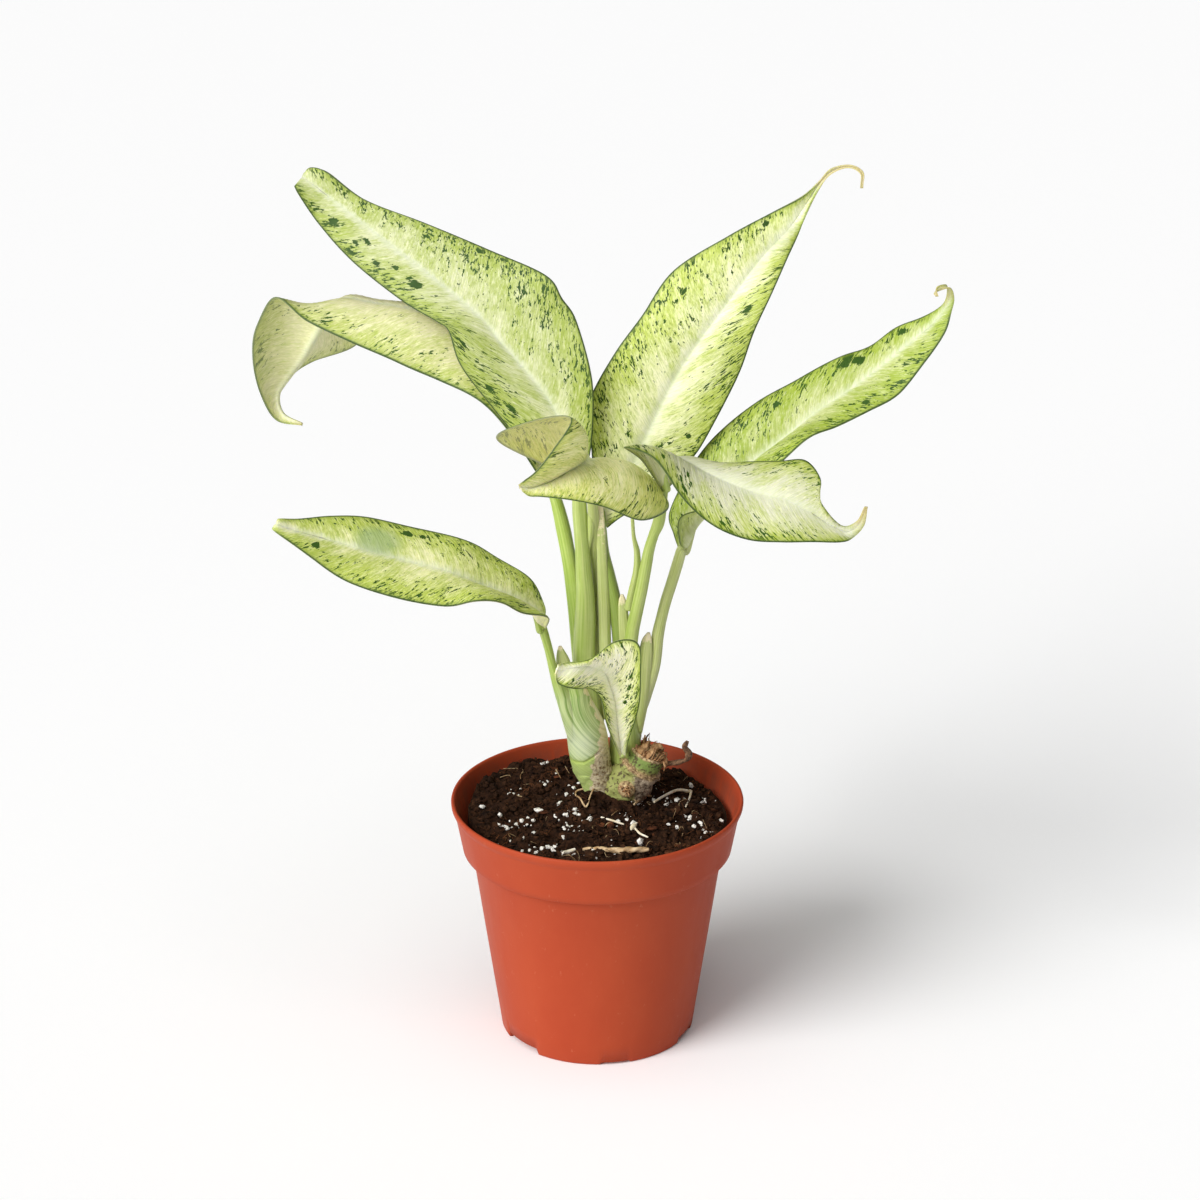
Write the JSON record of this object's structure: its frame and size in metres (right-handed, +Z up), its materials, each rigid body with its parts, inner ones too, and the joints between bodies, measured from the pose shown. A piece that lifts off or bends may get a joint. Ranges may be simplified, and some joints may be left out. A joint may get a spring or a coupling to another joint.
{
  "type": "potted dieffenbachia",
  "caption": "Young potted dieffenbachia with cream and green mottled leaves on two leafy shoots beside an old cut cane, in soil in a terracotta-coloured plastic nursery pot.",
  "frame": {"origin": "centre of the pot's floor, on its underside", "axes": "+Z up out of the pot, +X towards the side of the long upright leaf, -Y towards the side where the small leaf and the old cane stand"},
  "size_m": [0.2467, 0.1193, 0.3147],
  "materials": {
    "pot_plastic": "satin injection-moulded plastic, terracotta orange",
    "soil": "moist peat potting mix with perlite grains",
    "cane": "corky ringed cane",
    "stalk": "smooth fleshy stalk",
    "leaf": "thin satin leaf, cream with green mottling"
  },
  "bodies": {
    "root": {"pot": "pot_plastic", "soil": "soil", "old_cane": "cane", "left_shoot": "stalk", "right_shoot": "stalk", "leaf_upper_left": "leaf", "leaf_far_left": "leaf", "leaf_upright": "leaf", "leaf_right": "leaf", "leaf_right_front": "leaf", "leaf_centre_front": "leaf", "leaf_lower_left": "leaf", "leaf_small_front": "leaf"}
  },
  "joints": []
}
